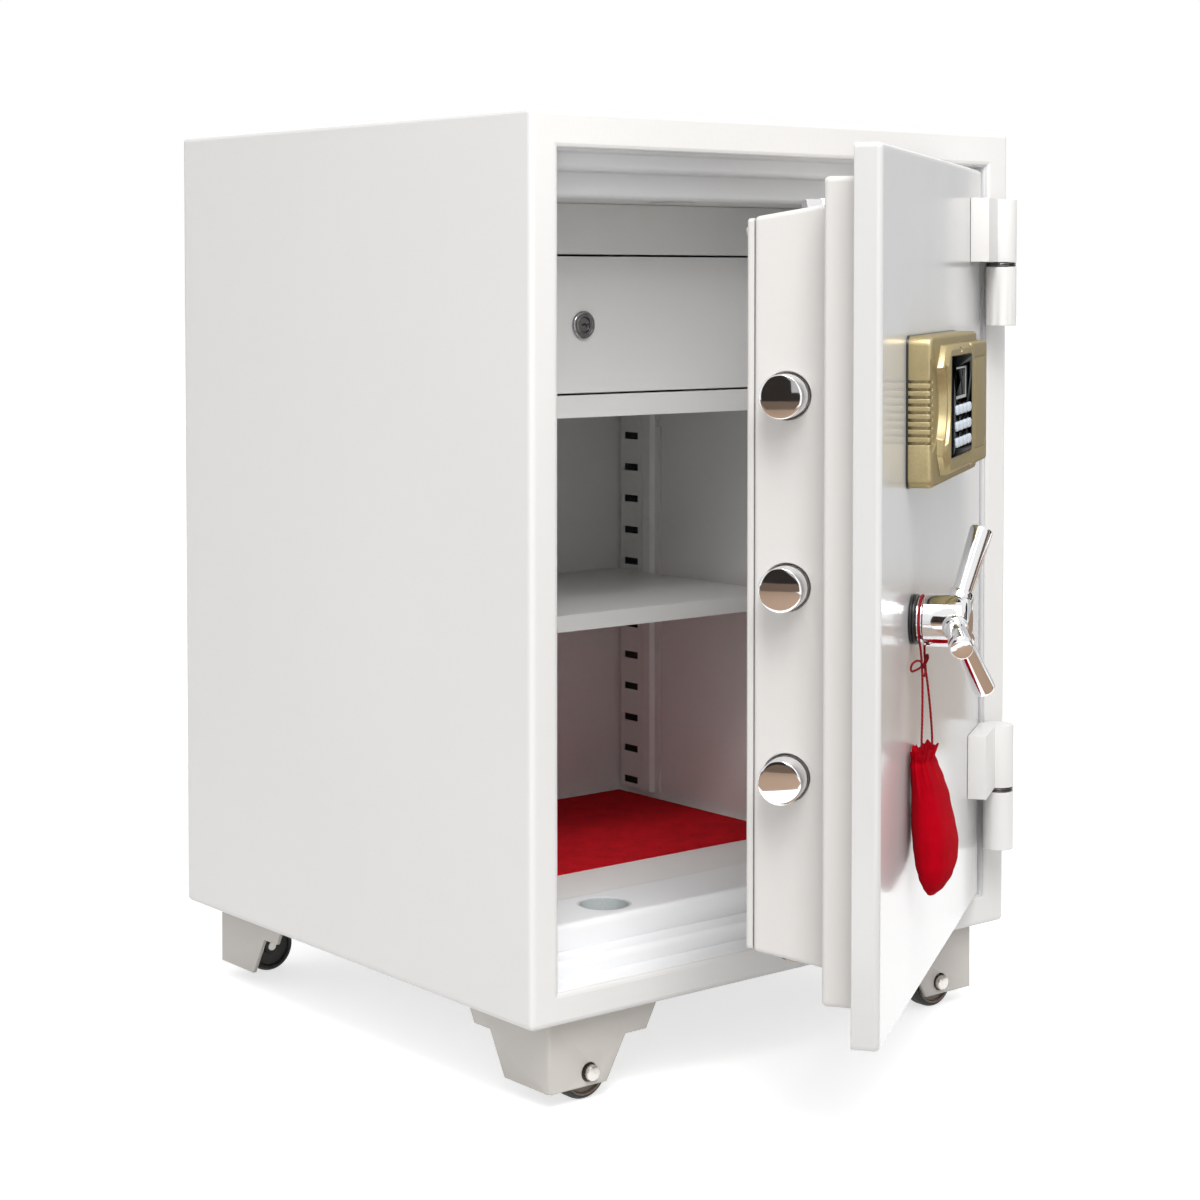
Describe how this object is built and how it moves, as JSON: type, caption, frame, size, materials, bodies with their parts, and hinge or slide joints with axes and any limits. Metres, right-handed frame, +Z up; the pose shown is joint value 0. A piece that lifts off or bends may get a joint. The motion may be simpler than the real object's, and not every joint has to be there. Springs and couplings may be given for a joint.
{
  "type": "home safe",
  "caption": "Free-standing fire-resistant home safe on small wheels, with a keypad lock, a three-armed handle, sliding bolts and a locker inside.",
  "frame": {"origin": "on the floor that the wheels stand on, below the centre of the cabinet body", "axes": "+X to the right of the safe seen from its front, +Y from the front to the back, +Z up"},
  "size_m": [0.5, 0.7567, 0.726],
  "materials": {
    "paint_white": "warm white powder coat",
    "paint_gloss": "glossy cool white paint",
    "paint_inner": "light grey powder coat",
    "filling": "cast fire-resistant filling",
    "steel": "machined steel",
    "chrome": "bright chrome plate",
    "gold": "champagne gold metallic plastic",
    "black": "gloss black plastic",
    "lens": "dark display window",
    "key": "blue-grey moulded keys",
    "tyre": "black rubber tread on a brown-grey centre",
    "carpet": "short red pile",
    "velvet": "red velvet",
    "cord": "thin twisted red cord"
  },
  "bodies": {
    "cabinet": {"cabinet_shell": "paint_white", "door_frame": "paint_white", "inner_liner": "paint_inner", "fire_filling": "filling", "foot_front_left": "paint_white", "foot_front_right": "paint_white", "foot_rear_left": "paint_white", "foot_rear_right": "paint_white", "standard_rear_left": "paint_inner", "standard_rear_right": "paint_inner", "standard_front_left": "paint_inner", "standard_front_right": "paint_inner", "shelf": "paint_inner", "carpet": "carpet", "locker_case": "paint_inner", "hinge_knuckle_upper": "paint_white", "hinge_knuckle_lower": "paint_white", "hinge_pin_upper": "steel", "hinge_pin_lower": "steel"},
    "door": {"door_skin": "paint_gloss", "door_pan": "paint_white", "door_filling": "filling", "bolt_box": "paint_white", "bolt_box_cover": "paint_white", "hinge_block_upper": "paint_white", "hinge_block_lower": "paint_white", "handle_rose": "black", "keypad_housing": "gold", "keypad_window": "black", "display_lens": "lens"},
    "handle_body": {"handle": "chrome", "handle_spindle": "steel"},
    "side_bolts": {"bolt_bar": "steel", "side_bolt_upper": "chrome", "side_bolt_middle": "chrome", "side_bolt_lower": "chrome"},
    "top_bolt_body": {"top_bolt": "chrome"},
    "bottom_bolt_body": {"bottom_bolt": "chrome"},
    "battery_cover_body": {"battery_cover": "gold"},
    "pouch_body": {"key_pouch": "velvet", "pouch_cord": "cord"},
    "locker_door_body": {"locker_door": "paint_inner", "locker_lock_barrel": "chrome"},
    "locker_lock_body": {"locker_lock_plug": "chrome"},
    "wheel_body_front_left": {"wheel_front_left": "tyre"},
    "wheel_body_front_right": {"wheel_front_right": "tyre"},
    "wheel_body_rear_left": {"wheel_rear_left": "tyre"},
    "wheel_body_rear_right": {"wheel_rear_right": "tyre"},
    "key_body_01": {"key_01": "key"},
    "key_body_02": {"key_02": "key"},
    "key_body_03": {"key_03": "key"},
    "key_body_04": {"key_04": "key"},
    "key_body_05": {"key_05": "key"},
    "key_body_06": {"key_06": "key"},
    "key_body_07": {"key_07": "key"},
    "key_body_08": {"key_08": "key"},
    "key_body_09": {"key_09": "key"},
    "key_body_10": {"key_10": "key"},
    "key_body_11": {"key_11": "key"},
    "key_body_12": {"key_12": "key"}
  },
  "joints": [
    {"name": "door_hinge", "type": "hinge", "parent": "cabinet", "child": "door", "pos_m": [0.224, -0.262, 0.394], "axis": [0, 0, 1], "range_deg": [-34, 85]},
    {"name": "handle_turn", "type": "hinge", "parent": "door", "child": "handle_body", "pos_m": [-0.05521, -0.43103, 0.366], "axis": [0.5592, -0.829, 0], "range_deg": [0, 60]},
    {"name": "side_bolts_slide", "type": "slide", "parent": "door", "child": "side_bolts", "axis": [-0.829, -0.5592, 0], "range_m": [0, 0.02]},
    {"name": "top_bolt_slide", "type": "slide", "parent": "door", "child": "top_bolt_body", "axis": [0, 0, 1], "range_m": [0, 0.02]},
    {"name": "bottom_bolt_slide", "type": "slide", "parent": "door", "child": "bottom_bolt_body", "axis": [0, 0, -1], "range_m": [0, 0.02]},
    {"name": "battery_cover_slide", "type": "slide", "parent": "door", "child": "battery_cover_body", "axis": [0.829, 0.5592, 0], "range_m": [0, 0.012]},
    {"name": "pouch_swing", "type": "hinge", "parent": "door", "child": "pouch_body", "pos_m": [-0.05521, -0.43103, 0.366], "axis": [0.5592, -0.829, 0], "range_deg": [-20, 20]},
    {"name": "locker_door_hinge", "type": "hinge", "parent": "cabinet", "child": "locker_door_body", "pos_m": [0.15285, -0.1118, 0.568], "axis": [0, 0, 1], "range_deg": [0, 38]},
    {"name": "locker_lock_turn", "type": "hinge", "parent": "locker_door_body", "child": "locker_lock_body", "pos_m": [-0.093, -0.108, 0.56845], "axis": [0, -1, 0], "range_deg": [0, 90]},
    {"name": "wheel_roll_front_left", "type": "hinge", "parent": "cabinet", "child": "wheel_body_front_left", "pos_m": [-0.186, -0.2194, 0.022], "axis": [0, 1, 0], "continuous": true},
    {"name": "wheel_roll_front_right", "type": "hinge", "parent": "cabinet", "child": "wheel_body_front_right", "pos_m": [0.186, -0.2194, 0.022], "axis": [0, 1, 0], "continuous": true},
    {"name": "wheel_roll_rear_left", "type": "hinge", "parent": "cabinet", "child": "wheel_body_rear_left", "pos_m": [-0.186, 0.2194, 0.022], "axis": [0, 1, 0], "continuous": true},
    {"name": "wheel_roll_rear_right", "type": "hinge", "parent": "cabinet", "child": "wheel_body_rear_right", "pos_m": [0.186, 0.2194, 0.022], "axis": [0, 1, 0], "continuous": true},
    {"name": "key_press_01", "type": "slide", "parent": "door", "child": "key_body_01", "axis": [-0.5592, 0.829, 0], "range_m": [0, 0.001], "stiffness_N_per_m": 400},
    {"name": "key_press_02", "type": "slide", "parent": "door", "child": "key_body_02", "axis": [-0.5592, 0.829, 0], "range_m": [0, 0.001], "stiffness_N_per_m": 400},
    {"name": "key_press_03", "type": "slide", "parent": "door", "child": "key_body_03", "axis": [-0.5592, 0.829, 0], "range_m": [0, 0.001], "stiffness_N_per_m": 400},
    {"name": "key_press_04", "type": "slide", "parent": "door", "child": "key_body_04", "axis": [-0.5592, 0.829, 0], "range_m": [0, 0.001], "stiffness_N_per_m": 400},
    {"name": "key_press_05", "type": "slide", "parent": "door", "child": "key_body_05", "axis": [-0.5592, 0.829, 0], "range_m": [0, 0.001], "stiffness_N_per_m": 400},
    {"name": "key_press_06", "type": "slide", "parent": "door", "child": "key_body_06", "axis": [-0.5592, 0.829, 0], "range_m": [0, 0.001], "stiffness_N_per_m": 400},
    {"name": "key_press_07", "type": "slide", "parent": "door", "child": "key_body_07", "axis": [-0.5592, 0.829, 0], "range_m": [0, 0.001], "stiffness_N_per_m": 400},
    {"name": "key_press_08", "type": "slide", "parent": "door", "child": "key_body_08", "axis": [-0.5592, 0.829, 0], "range_m": [0, 0.001], "stiffness_N_per_m": 400},
    {"name": "key_press_09", "type": "slide", "parent": "door", "child": "key_body_09", "axis": [-0.5592, 0.829, 0], "range_m": [0, 0.001], "stiffness_N_per_m": 400},
    {"name": "key_press_10", "type": "slide", "parent": "door", "child": "key_body_10", "axis": [-0.5592, 0.829, 0], "range_m": [0, 0.001], "stiffness_N_per_m": 400},
    {"name": "key_press_11", "type": "slide", "parent": "door", "child": "key_body_11", "axis": [-0.5592, 0.829, 0], "range_m": [0, 0.001], "stiffness_N_per_m": 400},
    {"name": "key_press_12", "type": "slide", "parent": "door", "child": "key_body_12", "axis": [-0.5592, 0.829, 0], "range_m": [0, 0.001], "stiffness_N_per_m": 400}
  ],
  "couplings": [
    {"joint": "side_bolts_slide", "follows": "handle_turn", "m_per_rad": 0.019098},
    {"joint": "top_bolt_slide", "follows": "handle_turn", "m_per_rad": 0.019098},
    {"joint": "bottom_bolt_slide", "follows": "handle_turn", "m_per_rad": 0.019098}
  ]
}
